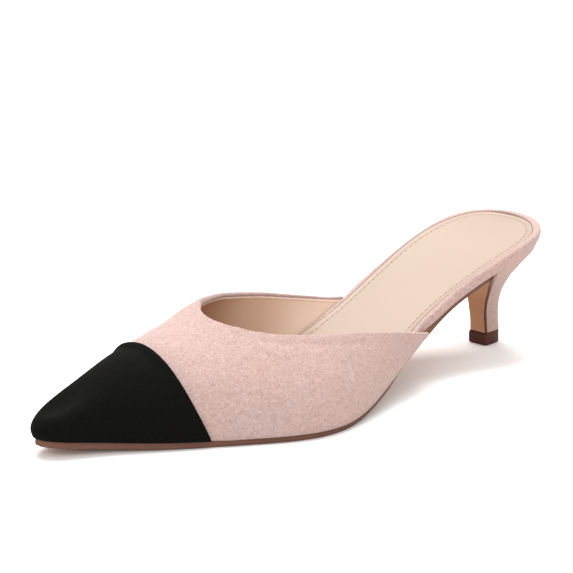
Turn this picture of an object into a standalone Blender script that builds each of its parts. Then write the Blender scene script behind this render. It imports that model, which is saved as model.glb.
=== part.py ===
"""Left kitten-heel mule: pointed suede upper with a dark toe cap, padded insole board, sock,
thin sole that turns down the breast of the heel, covered heel and its top piece.

Shapes are worked out in millimetres in a foot frame (x from the heel back to the toe,
y towards the outer side of the foot, z up) and written to the scene in metres, centred on
the bounding box with the lowest face on z = 0."""

import bmesh
import bpy
import numpy as np

for ob in list(bpy.data.objects):
    bpy.data.objects.remove(ob, do_unlink=True)

# ---------------------------------------------------------------- driving dimensions (mm)
LENGTH = 252.0        # foot outline, heel back to toe tip
GAP = 0.3             # clearance between neighbouring pieces
SOLE_T = 2.4          # outsole thickness
WAIST_T = 1.45        # the same under the waist
FLAP_T = 1.2          # outsole thickness where it covers the heel breast
BAND_T = 4.8          # insole board with its cover, heel and waist
BOARD_T = 3.2         # insole board inside the upper
BOARD_INSET = 2.5     # its edge inside the foot outline there
SOCK_T = 0.9          # sock thickness
SOCK_INSET = 2.7      # sock edge inside the band edge
SOCK_INSET_BACK = 4.6  # the same at the back of the heel
UPPER_T = 1.7         # wall of the upper
CAP_T = 0.7           # toe cap thickness
CAP_SINK = 0.75       # how far the upper is drawn in under the cap
HEEL_R = 22.1         # outline radius at the heel back
TOE_R = 5.6           # outline radius at the toe tip
THROAT_X = 176.0      # front of the foot opening
QUARTER_X, QUARTER_IN = 86.3, 82.0   # rear ends of the upper, outer and inner side
END_H = 0.9           # height left at the rear ends of the upper
FAN_X, FAN_END = 200.0, 236.0   # ridge positions gathered by the toe columns
TIP_H = 5.2           # top piece height

# plan outline:      x, centre, half width
OUTLINE = ((0, -3.4, None), (30, 3.4, 25.8), (60, -0.2, 24.2), (95, 2.4, 25.5), (130, 6.5, 33.9),
           (165, 3.4, 43.0), (195, 1.6, 30.9), (220, 0.0, 18.5), (240, -2.3, 9.7), (252, -3.0, None))
# top of the outsole:  x, z
SOLE_LINE = ((0, 48.6), (30, 44.8), (60, 31.7), (95, 16.3), (130, 4.9), (150, 2.5), (160, 2.2),
             (185, 2.2), (200, 2.5), (215, 3.0), (252, 6.5))
# ridge of the upper:  x, z, y
RIDGE = ((85, 64.2, -4.9), (110, 55.4, -4.9), (140, 48.2, -4.4), (160, 42.4, -4.1), (170, 39.8, -3.8), (178, 37.2, -3.5), (186, 35.3, -3.2), (195, 33.6, -2.8), (205, 31.5, -2.3), (225, 25.5, -2.6), (240, 16.8, -2.8), (252, 11.1, -3.0))
# section of the upper: x, fullness, bulge
SECTION = ((110, 2.51, 5.1), (165, 1.8, 1.2), (205, 2.24, -0.5), (252, 2.48, 2.3))
# foot opening: share of the way from the throat to the rear end, degrees below the ridge
TOP_OUT = ((0.0, 0.0), (0.002, 9.2), (0.0056, 14.6), (0.0134, 18.6), (0.0323, 23.6), (0.056, 28.8), (0.09, 32.8),
           (0.125, 36.3), (0.167, 39.1), (0.259, 44.3), (0.365, 49.7), (0.489, 55.4), (0.557, 58.9), (0.667, 65.0),
           (0.745, 70.0), (0.816, 75.0), (0.907, 82.0), (1.0, 88.6))
TOP_IN = ((0.0, 0.0), (0.0102, 2.3), (0.0255, 7.2), (0.042, 11.0), (0.0635, 14.2), (0.088, 18.3), (0.12, 23.0), (0.19, 28.8),
          (0.268, 34.1), (0.352, 41.0), (0.419, 45.5), (0.55, 53.6), (0.693, 63.6), (0.848, 75.5), (0.92, 81.0), (1.0, 86.2))
# rear edge of the toe cap: section angle (degrees), place along the outline
CAP_LINE = ((0, 200.7), (20, 203.95), (46, 206.35), (73, 208.0), (90, 208.3))
# sole turned down the heel breast: x and z on the heel side, x and z on the face, centre, half width
TURN = ((49.6, 36.8, 49.8, 35.4, 1.2, 24.3), (47.0, 37.3, 47.2, 36.0, 1.5, 23.8), (44.6, 37.0, 45.0, 35.8, 1.6, 22.2),
        (41.7, 35.8, 42.3, 34.9, 1.5, 19.6), (38.9, 34.1, 39.7, 33.3, 1.3, 16.9), (34.6, 31.8, 35.6, 31.1, 1.0, 13.4),
        (30.6, 28.6, 31.8, 28.0, 0.7, 10.0), (28.0, 25.3, 29.2, 25.0, 0.5, 7.6), (26.5, 22.2, 27.7, 22.0, 0.3, 5.9),
        (25.8, 19.0, 27.0, 19.0, 0.1, 5.0), (25.4, 15.0, 26.6, 15.0, 0.0, 4.35), (24.9, 12.0, 26.1, 12.0, 0.0, 4.15),
        (24.5, 9.0, 25.7, 9.0, 0.0, 4.15), (24.1, 5.6, 25.3, 5.6, 0.0, 4.3))
# heel rings: x, z at the breast, centre, half width, depth behind the breast, share of the seat outline
HEEL = ((23.8, 5.6, 0.0, 4.2, 10.9, 0.000), (24.2, 9.0, 0.0, 4.05, 10.7, 0.000), (24.7, 13.0, 0.0, 4.1, 10.9, 0.000),
        (25.2, 17.0, 0.0, 4.4, 11.3, 0.000), (25.7, 20.5, 0.2, 5.1, 12.0, 0.005), (26.8, 24.0, 0.4, 6.6, 13.3, 0.015),
        (28.7, 27.0, 0.6, 8.5, 15.7, 0.030), (31.1, 29.5, 0.8, 10.6, 18.0, 0.060), (34.0, 31.8, 1.0, 13.0, 20.5, 0.100),
        (37.1, 33.6, 1.2, 15.5, 22.6, 0.160), (39.8, 35.0, 1.4, 17.8, 24.5, 0.230), (41.6, 36.1, 1.5, 19.5, 26.0, 0.310),
        (43.5, 36.9, 1.6, 21.1, 28.2, 0.400), (45.0, 37.3, 1.6, 22.2, 30.8, 0.500), (45.3, 37.6, 1.6, 22.6, 33.6, 0.620),
        (45.5, 37.9, 1.6, 22.8, 35.9, 0.750), (45.7, 38.2, 1.6, 22.9, 37.0, 0.880), (45.8, 38.5, 1.6, 23.0, 38.0, 1.000))
# edge of the insole board: inset, height (share of the thickness)
BOARD_EDGE = ((1.6, 0.0), (0.5, 0.16), (0.0, 0.42), (0.0, 0.70), (0.25, 0.90), (0.7, 1.0))


# ---------------------------------------------------------------- shape functions
def spline(xs, ys, x):
    """natural cubic through (xs, ys), straight beyond its ends"""
    xs, ys, x = np.asarray(xs, float), np.asarray(ys, float), np.asarray(x, float)
    n, h = len(xs), np.diff(xs)
    A, r = np.eye(n), np.zeros(n)
    for i in range(1, n - 1):
        A[i, i - 1:i + 2] = h[i - 1], 2 * (h[i - 1] + h[i]), h[i]
        r[i] = 6 * ((ys[i + 1] - ys[i]) / h[i] - (ys[i] - ys[i - 1]) / h[i - 1])
    m = np.linalg.solve(A, r)
    i = np.clip(np.searchsorted(xs, x) - 1, 0, n - 2)
    a, b = (xs[i + 1] - x), (x - xs[i])
    y = (m[i] * a ** 3 + m[i + 1] * b ** 3) / (6 * h[i])
    y += (ys[i] / h[i] - m[i] * h[i] / 6) * a + (ys[i + 1] / h[i] - m[i + 1] * h[i] / 6) * b
    s0 = (ys[1] - ys[0]) / h[0] - h[0] * m[1] / 6
    s1 = (ys[-1] - ys[-2]) / h[-1] + h[-1] * m[-2] / 6
    y = np.where(x < xs[0], ys[0] + s0 * (x - xs[0]), y)
    return np.where(x > xs[-1], ys[-1] + s1 * (x - xs[-1]), y)


def column(table, k):
    return [row[k] for row in table]


def smooth(x, a, b):
    t = np.clip((np.asarray(x, float) - a) / (b - a), 0, 1)
    return t * t * (3 - 2 * t)


def centre(x):
    return spline(column(OUTLINE, 0), column(OUTLINE, 1), x)


def width_factor(x):
    g = []
    for k, _, w in OUTLINE:
        r = HEEL_R if k == 0 else TOE_R
        g.append(np.sqrt(2 * r / LENGTH) if w is None else w / np.sqrt(k * (LENGTH - k)))
    return spline(column(OUTLINE, 0), g, x)


def u_of(x):
    return np.arccos(1 - 2 * np.asarray(x, float) / LENGTH)


def rim(u):
    """outline at angle u: 0 heel back, pi toe tip, up to pi outer side, beyond it inner side"""
    def at(v):
        x = LENGTH / 2 * (1 - np.cos(v))
        return np.stack([x, centre(x) + width_factor(x) * LENGTH / 2 * np.sin(v)], -1)
    u = np.asarray(u, float)
    p, t = at(u), at(u + 1e-4) - at(u - 1e-4)
    n = np.stack([-t[..., 1], t[..., 0]], -1)
    return p, n / np.linalg.norm(n, axis=-1, keepdims=True)


def sole_z(x):
    return np.maximum(spline(column(SOLE_LINE, 0), column(SOLE_LINE, 1), x), SOLE_T)


def ridge(x):
    k = column(RIDGE, 0)
    return spline(k, column(RIDGE, 1), x), spline(k, column(RIDGE, 2), x)


def upper_point(u, th):
    """outer face of the upper: th 0 at the sole, pi/2 at the ridge"""
    u, th = np.broadcast_arrays(np.asarray(u, float), np.asarray(th, float))
    (p, n) = rim(u)
    x = p[..., 0]
    full, bulge = (spline(column(SECTION, 0), column(SECTION, k), np.clip(x, 100, LENGTH)) for k in (1, 2))
    xr = np.where(x > FAN_X, FAN_X + (FAN_END - FAN_X) * (x - FAN_X) / (LENGTH - FAN_X), x)
    h, yr = ridge(xr)
    slope = (ridge(xr + 0.5)[0] - h) * 2 * smooth(x, FAN_X, FAN_X + 15)
    c, s = np.abs(np.cos(th)), np.sin(th)
    out = bulge * np.sin(2 * th) * np.exp(-2 * th) * 1.6 + (0.3 + 0.8 * (1 - smooth(x, 84, 120)) - 0.3 * smooth(x, 195, 230)) * c
    w = p[..., 1] - centre(x)
    base = sole_z(x) + GAP
    return np.stack([x + (xr - x) * (1 - c) + n[..., 0] * out,
                     centre(x) + (yr - centre(x)) * s ** 2 + w * c ** (2 / full) + n[..., 1] * out,
                     base + (h - base) * s ** (1 - 0.12 * smooth(x, 225, 250)) + slope * (x - xr) * c * s ** 4], -1)


def upper_normal(u, th):
    e = 1e-3
    th = np.clip(th, 0.004, np.pi / 2 - 0.004)
    a = upper_point(u + e, th) - upper_point(u - e, th)
    b = upper_point(u, th + e) - upper_point(u, th - e)
    n = np.cross(b, a)
    n /= np.linalg.norm(n, axis=-1, keepdims=True)
    p, out = rim(u)
    n *= np.sign(n[..., 0] * out[..., 0] + n[..., 1] * out[..., 1] + 2 * n[..., 2])[..., None]
    level = smooth(th, 0, 0.25)[..., None]
    n = n * level + np.stack([out[..., 0], out[..., 1], 0 * out[..., 0]], -1) * (1 - level)
    return n / np.linalg.norm(n, axis=-1, keepdims=True)


def cap_edge(th):
    return spline(column(CAP_LINE, 0), column(CAP_LINE, 1), np.degrees(th))


def shell_point(u, th, d):
    """upper face moved d along its normal"""
    return upper_point(u, th) + upper_normal(u, th) * np.asarray(d)[..., None]


def sink(u, th):
    x = LENGTH / 2 * (1 - np.cos(u))
    return -CAP_SINK * smooth(x - cap_edge(th), -7, 1)


def top_angle(x, inner):
    """section angle of the foot opening at x"""
    table, end = (TOP_IN, QUARTER_IN) if inner else (TOP_OUT, QUARTER_X)
    share = np.clip((THROAT_X - x) / (THROAT_X - end), 0, 1)
    fall = spline(np.sqrt(column(table, 0)), column(table, 1), np.sqrt(share))
    base, h = sole_z(x) + GAP, ridge(x)[0]
    least = np.degrees(np.arcsin(END_H / (h - base)))
    return np.where(x >= THROAT_X - 1e-6, np.pi / 2, np.radians(np.maximum(90 - fall, least)))


# ---------------------------------------------------------------- building
def add(name, verts, faces, rgb, rough):
    me = bpy.data.meshes.new(name)
    me.from_pydata([tuple(v * 0.001) for v in np.asarray(verts)], [], faces)
    bm = bmesh.new()
    bm.from_mesh(me)
    bmesh.ops.recalc_face_normals(bm, faces=bm.faces)
    bm.to_mesh(me)
    bm.free()
    ob = bpy.data.objects.new(name, me)
    bpy.context.scene.collection.objects.link(ob)
    mat = bpy.data.materials.new(name)
    mat.use_nodes = True
    b = mat.node_tree.nodes["Principled BSDF"]
    b.inputs["Base Color"].default_value = (*rgb, 1)
    b.inputs["Roughness"].default_value = rough
    me.materials.append(mat)
    return ob


def loft(rings):
    """closed rings of equal length joined in order; each end is closed across, first point to last"""
    rings = [np.asarray(r) for r in rings]
    n, last, faces = len(rings[0]), (len(rings) - 1) * len(rings[0]), []
    for i in range(len(rings) - 1):
        for j in range(n):
            a, b = i * n + j, i * n + (j + 1) % n
            faces.append((a, b, b + n, a + n))
    for o in (0, last):
        for j in range(n // 2 - 1):
            faces.append((o + j, o + j + 1, o + n - 2 - j, o + n - 1 - j))
    return np.vstack(rings), faces


def ribbon(rows):
    """solid from cross sections given as (points on top, points underneath), left to right"""
    return loft([np.vstack([top, bottom[::-1]]) for top, bottom in rows])


def plate(count, loops, crown, across=4):
    """solid from closed loops over the outline angle, first loop underneath, last on top;
    the middle is filled in strips whose height comes from crown(x, y, on_top)"""
    us = np.linspace(0, 2 * np.pi, count, endpoint=False)
    verts, faces = [], []
    for f in loops:
        verts += list(f(us))
    m = len(loops)
    for k in range(m - 1):
        for j in range(count):
            a, b = k * count + j, k * count + (j + 1) % count
            faces.append((a, b, b + count, a + count))
    half = count // 2
    for o, on_top in ((0, False), ((m - 1) * count, True)):
        line = {}
        for i in range(1, half):
            a, b = verts[o + i], verts[o + count - i]
            line[i] = [o + i]
            for t in np.linspace(0, 1, across + 1)[1:-1]:
                p = a + (b - a) * t
                line[i].append(len(verts))
                verts.append(np.array([p[0], p[1], crown(p[0], p[1], on_top)]))
            line[i].append(o + count - i)
        for i in range(1, half - 1):
            for k in range(across):
                faces.append((line[i][k], line[i + 1][k], line[i + 1][k + 1], line[i][k + 1]))
        for end, i in ((o, 1), (o + half, half - 1)):
            for k in range(across):
                faces.append((end, line[i][k], line[i][k + 1]))
    return verts, faces


def wall(us, ths, outer, inner, seam, edge, bead):
    """closed wall over columns us[column, row] and angles ths[column, row]; a column in seam
    shares its last point with the column it names; edge lists the columns along the opening,
    whose rim is rounded by bead"""
    cols, rows = us.shape
    verts, faces, idx = [], [], {}
    for side, d in ((0, outer), (1, inner)):
        P = shell_point(us, ths, d(us, ths))
        for i in range(cols):
            for j in range(rows):
                if j == rows - 1 and i in seam:
                    continue
                idx[side, i, j] = len(verts)
                verts.append(P[i, j])
        for i, k in seam.items():
            idx[side, i, rows - 1] = idx[side, k, rows - 1]
    for i in range(cols - 1):
        for j in range(rows - 1):
            for s in (0, 1):
                faces.append([idx[s, i, j], idx[s, i + 1, j], idx[s, i + 1, j + 1], idx[s, i, j + 1]])
        faces.append([idx[0, i, 0], idx[0, i + 1, 0], idx[1, i + 1, 0], idx[1, i, 0]])
    for i in (0, cols - 1):
        for j in range(rows - 1):
            faces.append([idx[0, i, j], idx[0, i, j + 1], idx[1, i, j + 1], idx[1, i, j]])
    line = []
    for i in edge:
        o, q = idx[0, i, rows - 1], idx[1, i, rows - 1]
        up = verts[o] - verts[idx[0, i, rows - 2]]
        line.append((o, len(verts), q))
        verts.append((verts[o] + verts[q]) / 2 + up / np.linalg.norm(up) * bead)
    for (a, b, c), (d, e, f) in zip(line[:-1], line[1:]):
        faces += [[a, d, e, b], [b, e, f, c]]
    if line:
        faces += [list(line[0]), list(line[-1])]
    return verts, faces


def inset_loop(us, inset):
    p, n = rim(us)
    return p - n * np.broadcast_to(inset, us.shape)[..., None]


def back_share(us):
    """1 at the back of the heel, 0 along the sides"""
    return smooth(np.cos(us), 0.80, 1.0)


def board_inset(us):
    x = LENGTH / 2 * (1 - np.cos(us))
    return BOARD_INSET * smooth(x, 76, 92) + 0.5 * smooth(x, 180, 200) * (1 - smooth(x, 232, 246))


def sock_inset(us):
    x = LENGTH / 2 * (1 - np.cos(us))
    side = SOCK_INSET - 1.3 * smooth(x, 80, 92)
    return board_inset(us) + side + (SOCK_INSET_BACK - SOCK_INSET) * back_share(us)


def board_t(x):
    return BAND_T - (BAND_T - BOARD_T) * smooth(x, 88, 130)


def dish(x, y):
    w = np.maximum(width_factor(x) * np.sqrt(np.maximum(x * (LENGTH - x), 1)), 3)
    return 0.9 * (1 - smooth(x, 45, 85)) * np.clip(1 - ((y - centre(x)) / w) ** 2, 0, 1)


def board_top(x, y):
    """recess for the sock"""
    return sole_z(x) + GAP + board_t(x) - 1.1 - dish(x, y)


# ---------------------------------------------------------------- upper and toe cap
def around(outer, inner):
    """outline angles from the rear end of the outer side round the toe to the inner side"""
    return np.concatenate([u_of(outer), [np.pi], 2 * np.pi - u_of(inner)[::-1]])


def make_upper():
    s = np.linspace(1, 0, 22) ** 1.9
    shut_x = LENGTH / 2 * (1 - np.cos(np.linspace(u_of(THROAT_X), np.pi, 18)[1:-1]))
    u = around(*(np.concatenate([THROAT_X - (THROAT_X - end) * s, shut_x]) for end in (QUARTER_X, QUARTER_IN)))
    n, t = len(u), len(s) - 1
    x = LENGTH / 2 * (1 - np.cos(u))
    top = np.where(np.arange(n) > n // 2, top_angle(x, True), top_angle(x, False))
    rows = 12
    ths = top[:, None] * np.linspace(0, 1, rows)[None]
    us = np.repeat(u[:, None], rows, 1)
    seam = {n - 1 - i: i for i in range(t, n // 2)}
    edge = list(range(t + 1)) + list(range(n - t, n))
    return wall(us, ths, sink, lambda a, b: sink(a, b) - UPPER_T, seam, edge, 0.45)


def make_cap():
    rows, side = 11, 14
    th = np.linspace(0, np.pi / 2, rows)
    s = np.concatenate([-np.linspace(1, 0, side) ** 1.0, np.linspace(0, 1, side)[1:]])
    reach = np.pi - u_of(cap_edge(th))
    us = np.pi + s[:, None] * reach[None]
    ths = np.repeat(th[None], len(s), 0)
    seam = {len(s) - 1 - i: i for i in range(side - 1)}
    return wall(us, ths, lambda a, b: np.full(a.shape, GAP + CAP_T - CAP_SINK),
                lambda a, b: np.full(a.shape, GAP - CAP_SINK), seam, [], 0)


# ---------------------------------------------------------------- insole board, sock
def make_insole():
    def loop(k, z):
        def f(us):
            extra = k + (0.9 * back_share(us) if z < 0.3 else 0)
            p = inset_loop(us, board_inset(us) + extra)
            return np.column_stack([p, sole_z(p[:, 0]) + GAP + board_t(p[:, 0]) * z])
        return f

    def lip(us):
        p = inset_loop(us, sock_inset(us) - 0.45)
        return np.column_stack([p, sole_z(p[:, 0]) + GAP + board_t(p[:, 0])])

    def floor(us):
        p = inset_loop(us, sock_inset(us) - 0.3)
        return np.column_stack([p, board_top(p[:, 0], p[:, 1])])

    def crown(x, y, on_top):
        return board_top(x, y) if on_top else sole_z(x) + GAP
    return plate(76, [loop(k, z) for k, z in BOARD_EDGE] + [lip, floor], crown)


def make_sock():
    def loop(k, z):
        def f(us):
            p = inset_loop(us, sock_inset(us) + k)
            return np.column_stack([p, board_top(p[:, 0], p[:, 1]) + GAP + z])
        return f

    def crown(x, y, on_top):
        return board_top(x, y) + GAP + (SOCK_T if on_top else 0)
    return plate(76, [loop(0, 0), loop(0, SOCK_T * 0.7), loop(0.35, SOCK_T)], crown)


# ---------------------------------------------------------------- outsole, heel, top piece
def turn(t):
    """TURN interpolated at share t"""
    k = np.linspace(0, 1, len(TURN))
    return [spline(k, column(TURN, c), t) for c in range(6)]


def make_outsole():
    rows = []
    toe = np.pi - u_of(LENGTH - 2.4)
    us = np.linspace(u_of(52.5), np.pi - toe, 46)
    for u in us[::-1]:
        p, _ = rim(u)
        x = float(p[0])
        c, w = float(centre(x)), float(p[1] - centre(x))
        under = 0.8 + 0.6 * float(smooth(x, 84, 92) * (1 - smooth(x, 106, 118)))
        w = max(w - under, 1.2)
        slope = (sole_z(x + 0.5) - sole_z(x - 0.5))
        t = WAIST_T + (SOLE_T - WAIST_T) * float(smooth(x, 62, 96))
        nx, nz = -slope / np.hypot(1, slope), 1 / np.hypot(1, slope)
        y = np.array([-1, -0.97, -0.45, 0.45, 0.97, 1]) * w + c
        z = float(sole_z(x)) + np.array([-0.35, 0, 0, 0, 0, -0.35])
        low = float(sole_z(x)) - t * nz + np.array([0.45, 0, 0, 0, 0, 0.45])
        rows.append((np.column_stack([np.full(6, x), y, z]), np.column_stack([np.full(6, x - t * nx), y, low])))
    for t in np.linspace(0, 1, 30):
        xa, za, xb, zb, c, w = (float(v) for v in turn(t))
        y = np.array([-1, -0.97, -0.45, 0.45, 0.97, 1]) * w + c
        k = np.array([0.12, 0, 0, 0, 0, 0.12])
        rows.append((np.column_stack([xa + (xb - xa) * k, y, za + (zb - za) * k]),
                     np.column_stack([xb - (xb - xa) * k, y, zb - (zb - za) * k])))
    return ribbon(rows)


def heel_ring(x, z, c, w, depth, full, share, n=30):
    """D section: flat breast at x, round back; share of the seat outline mixed in"""
    t = np.linspace(0, np.pi, n)
    px = x - depth * np.abs(np.sin(t)) ** (2 / full)
    py = c + w * np.sign(np.cos(t)) * np.abs(np.cos(t)) ** (2 / full)
    u = float(u_of(x)) * np.cos(t)
    q, nn = rim(u)
    q = q - nn * (0.9 + 1.0 * back_share(u))[:, None]
    px, py = px * (1 - share) + q[:, 0] * share, py * (1 - share) + q[:, 1] * share
    pz = z + share * (sole_z(px) - sole_z(np.float64(x)))
    return np.column_stack([px, py, pz])


def make_heel():
    rings = [heel_ring(x, z, c, w, depth, 2.3, share) for x, z, c, w, depth, share in HEEL]
    last = rings[-1]
    last[:, 2] = sole_z(last[:, 0])
    return loft(rings)


def make_top_piece():
    rings = [heel_ring(x, z, 0.0, w, d, 2.4, 0.0) for x, z, w, d in
             ((24.9, 0.0, 4.35, 11.6), (25.2, 0.5, 4.6, 12.1), (25.5, TIP_H - 0.4, 4.65, 12.2), (25.3, TIP_H, 4.5, 12.0))]
    return loft(rings)


PARTS = (
    ("outsole", make_outsole, (0.13, 0.07, 0.045), 0.55),
    ("insole", make_insole, (0.72, 0.50, 0.45), 0.9),
    ("sock", make_sock, (0.80, 0.62, 0.50), 0.6),
    ("upper", make_upper, (0.72, 0.52, 0.47), 0.9),
    ("toe_cap", make_cap, (0.012, 0.012, 0.012), 0.85),
    ("heel", make_heel, (0.70, 0.48, 0.43), 0.9),
    ("top_piece", make_top_piece, (0.07, 0.035, 0.025), 0.5),
)


def main():
    made = [(name, *make(), rgb, rough) for name, make, rgb, rough in PARTS]
    every = np.vstack([np.asarray(v) for _, v, _, _, _ in made])
    low, high = every.min(0), every.max(0)
    shift = np.array([(low[0] + high[0]) / 2, (low[1] + high[1]) / 2, 0])
    for name, verts, faces, rgb, rough in made:
        add(name, np.asarray(verts) - shift, faces, rgb, rough)


main()
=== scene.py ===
"""Looks of a left kitten-heel mule: short-nap suede upper with a folded, lined topline and a black
suede toe cap, covered insole band and heel, leather sock with a stitched row, thin leather sole
that turns down the heel breast, rubber top piece.

Shapes are worked out in millimetres in a foot frame (x from the heel back to the toe, y towards
the outer side of the foot, z up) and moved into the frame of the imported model."""

import bpy
import numpy as np
from mathutils import Matrix, Vector, noise


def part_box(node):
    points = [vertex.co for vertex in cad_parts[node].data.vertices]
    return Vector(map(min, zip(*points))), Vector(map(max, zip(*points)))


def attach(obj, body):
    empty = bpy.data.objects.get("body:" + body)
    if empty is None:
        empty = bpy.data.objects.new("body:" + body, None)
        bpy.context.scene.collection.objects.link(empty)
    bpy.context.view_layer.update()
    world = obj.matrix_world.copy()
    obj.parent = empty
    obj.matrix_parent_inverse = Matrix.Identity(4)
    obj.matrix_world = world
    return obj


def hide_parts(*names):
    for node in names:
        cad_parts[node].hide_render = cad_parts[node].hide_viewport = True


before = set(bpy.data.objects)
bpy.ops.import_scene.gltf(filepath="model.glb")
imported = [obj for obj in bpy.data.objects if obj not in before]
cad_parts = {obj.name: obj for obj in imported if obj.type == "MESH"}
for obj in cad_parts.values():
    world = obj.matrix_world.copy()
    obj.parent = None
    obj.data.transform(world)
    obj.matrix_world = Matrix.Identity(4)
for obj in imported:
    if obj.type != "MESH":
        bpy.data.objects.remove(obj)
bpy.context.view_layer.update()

# ---------------------------------------------------------------- dimensions (mm), as in the CAD
LENGTH = 252.0
GAP = 0.3
SOLE_T = 2.4
BAND_T = 4.8
BOARD_T = 3.2
BOARD_INSET = 2.5
CAP_T = 0.7
CAP_SINK = 0.75
HEEL_R = 22.1
TOE_R = 5.6
THROAT_X = 175.5
QUARTER_X = 86.3
QUARTER_IN = 82.0
END_H = 0.9
FAN_X, FAN_END = 200.0, 236.0
TIP_H = 5.2
TIP_FRONT = 25.5      # most forward point of the top piece

OUTLINE = ((0, -3.4, None), (30, 3.4, 25.8), (60, -0.2, 24.2), (95, 2.4, 25.5), (130, 6.5, 33.9),
           (165, 3.4, 43.0), (195, 1.6, 30.9), (220, 0.0, 18.5), (240, -2.3, 9.7), (252, -3.0, None))
SOLE_LINE = ((0, 48.6), (30, 44.8), (60, 31.7), (95, 16.3), (130, 4.9), (150, 2.5), (160, 2.2),
             (185, 2.2), (200, 2.5), (215, 3.0), (252, 6.5))
RIDGE = ((85, 64.2, -4.9), (110, 55.4, -4.9), (140, 48.2, -4.4), (160, 42.4, -4.1), (170, 39.8, -3.8),
         (178, 37.2, -3.5), (186, 35.3, -3.2), (195, 33.6, -2.8), (205, 31.5, -2.3), (225, 25.5, -2.6),
         (240, 16.8, -2.8), (252, 11.1, -3.0))
SECTION = ((110, 2.51, 5.1), (165, 1.8, 1.2), (205, 2.24, -0.5), (252, 2.48, 2.3))
# foot opening: share of the way from the throat to the rear end, degrees below the ridge
TOP_OUT = ((0.0, 0.0), (0.0001, 3.0), (0.0005, 8.4), (0.0017, 13.2), (0.0044, 16.2), (0.0092, 18.6),
           (0.0157, 20.9), (0.0269, 22.9), (0.0381, 25.7), (0.0507, 28.2), (0.0668, 30.3), (0.0849, 32.2),
           (0.1201, 35.7), (0.1623, 38.5), (0.2076, 41.1), (0.2549, 43.7), (0.3051, 46.5), (0.3614, 49.1),
           (0.4228, 51.8), (0.4861, 54.8), (0.5545, 58.3), (0.6651, 64.4), (0.7436, 69.4), (0.815, 74.4),
           (0.9065, 81.4), (1, 88.6))
TOP_IN = ((0.0, 0.0), (0.0043, 1.9), (0.0112, 4.2), (0.0203, 6.7), (0.0321, 9.6), (0.0585, 13.5),
           (0.0831, 17.6), (0.1153, 22.3), (0.1857, 28.2), (0.2641, 33.4), (0.3093, 37.2), (0.3485, 40.4),
           (0.3837, 42.8), (0.4159, 44.9), (0.4812, 48.9), (0.5476, 53.0), (0.617, 57.7), (0.6914, 63.0),
           (0.7688, 68.8), (0.8472, 74.9), (0.9196, 80.4), (1, 85.6))
# rear edge of the toe cap: section angle (degrees), place along the outline
CAP_LINE = ((0, 200.7), (10, 202.45), (20, 203.95), (33, 205.4), (46, 206.35), (58, 207.15), (73, 208.0), (90, 208.3))
TURN = ((49.6, 36.8, 49.8, 35.4, 1.2, 24.3), (47.0, 37.3, 47.2, 36.0, 1.5, 23.8), (44.6, 37.0, 45.0, 35.8, 1.6, 22.2),
        (41.7, 35.8, 42.3, 34.9, 1.5, 19.6), (38.9, 34.1, 39.7, 33.3, 1.3, 16.9), (34.6, 31.8, 35.6, 31.1, 1.0, 13.4),
        (30.6, 28.6, 31.8, 28.0, 0.7, 10.0), (28.0, 25.3, 29.2, 25.0, 0.5, 7.6), (26.5, 22.2, 27.7, 22.0, 0.3, 5.9),
        (25.8, 19.0, 27.0, 19.0, 0.1, 5.0), (25.4, 15.0, 26.6, 15.0, 0.0, 4.35), (24.9, 12.0, 26.1, 12.0, 0.0, 4.15),
        (24.5, 9.0, 25.7, 9.0, 0.0, 4.15), (24.1, 5.6, 25.3, 5.6, 0.0, 4.3))
HEEL = ((23.8, 5.6, 0.0, 4.2, 10.9, 0.000), (24.2, 9.0, 0.0, 4.05, 10.7, 0.000), (24.7, 13.0, 0.0, 4.1, 10.9, 0.000),
        (25.2, 17.0, 0.0, 4.4, 11.3, 0.000), (25.7, 20.5, 0.2, 5.1, 12.0, 0.005), (26.8, 24.0, 0.4, 6.6, 13.3, 0.015),
        (28.7, 27.0, 0.6, 8.5, 15.7, 0.030), (31.1, 29.5, 0.8, 10.6, 18.0, 0.060), (34.0, 31.8, 1.0, 13.0, 20.5, 0.100),
        (37.1, 33.6, 1.2, 15.5, 22.6, 0.160), (39.8, 35.0, 1.4, 17.8, 24.5, 0.230), (41.6, 36.1, 1.5, 19.5, 26.0, 0.310),
        (43.5, 36.9, 1.6, 21.1, 28.2, 0.400), (45.0, 37.3, 1.6, 22.2, 30.8, 0.500), (45.3, 37.6, 1.6, 22.6, 33.6, 0.620),
        (45.5, 37.9, 1.6, 22.8, 35.9, 0.750), (45.7, 38.2, 1.6, 22.9, 37.0, 0.880), (45.8, 38.5, 1.6, 23.0, 38.0, 1.000))

# looks only
WALL = 1.9            # folded edge of the upper, lining included
FOLD = 1.35            # how far the suede is folded in over the lining side
LINING_STEP = 0.35    # lining stands proud of the fold
HEM = 4.6             # crease of the turned hem below the topline
STITCH_IN = 2.2       # stitched row inside the sock edge
STITCH_STEP = 3.1
SOCK_T = 0.9          # sock leather at its edge, above its bed
SOCK_DROP = 0.45      # its surface lies this much lower inside the edge
# sock edge inside the outline: x, outer side, inner side
SOCK_EDGE = ((0, 4.3, 4.3), (10, 4.0, 4.1), (20, 3.1, 3.8), (30, 2.9, 2.7), (40, 3.0, 1.8), (50, 2.6, 1.7), (63, 2.1, 2.4),
             (75, 2.8, 3.0), (85, 3.6, 3.6), (95, 3.85, 3.9), (108, 2.3, 2.2), (125, 2.45, 2.45), (180, 2.45, 2.45),
             (200, 3.2, 3.2), (232, 3.2, 3.2), (246, 2.6, 2.6), (252, 2.6, 2.6))

tip_lo, tip_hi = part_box("top_piece")
SHIFT = np.array([TIP_FRONT - tip_hi.x * 1000, -(tip_lo.y + tip_hi.y) / 2 * 1000, 0.0])


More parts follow.
